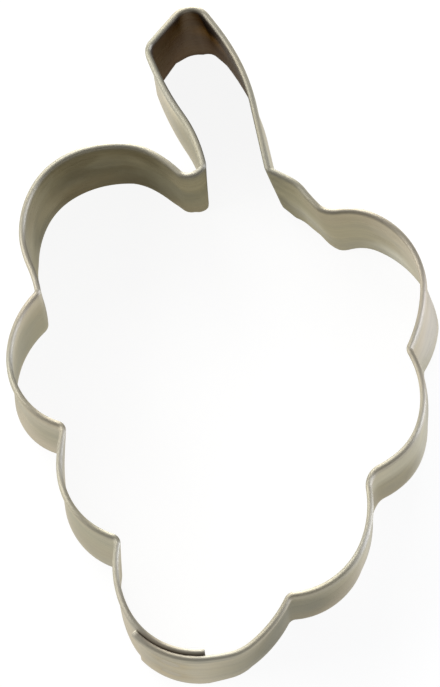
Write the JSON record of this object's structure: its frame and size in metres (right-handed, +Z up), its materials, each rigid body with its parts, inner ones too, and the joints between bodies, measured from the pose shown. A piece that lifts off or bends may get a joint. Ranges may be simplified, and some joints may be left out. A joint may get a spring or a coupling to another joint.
{
  "type": "cookie cutter",
  "caption": "Open cookie cutter in the outline of a bunch of grapes with its stem, bent from thin steel strip with a hemmed upper edge, its lapped ends spot-welded.",
  "frame": {"origin": "under the middle of the outline's box, on the plane of the cutting edge", "axes": "+X to the right seen from above, +Y towards the stem, +Z up from the cutting edge to the hemmed edge"},
  "size_m": [0.065, 0.1016, 0.022],
  "materials": {
    "satin_steel": "satin, fine rolling lines along the strip",
    "weld_steel": "satin, slightly darkened by the weld's heat"
  },
  "bodies": {
    "root": {"cutter_band": "satin_steel", "spot_weld_upper": "weld_steel", "spot_weld_lower": "weld_steel"}
  },
  "joints": []
}
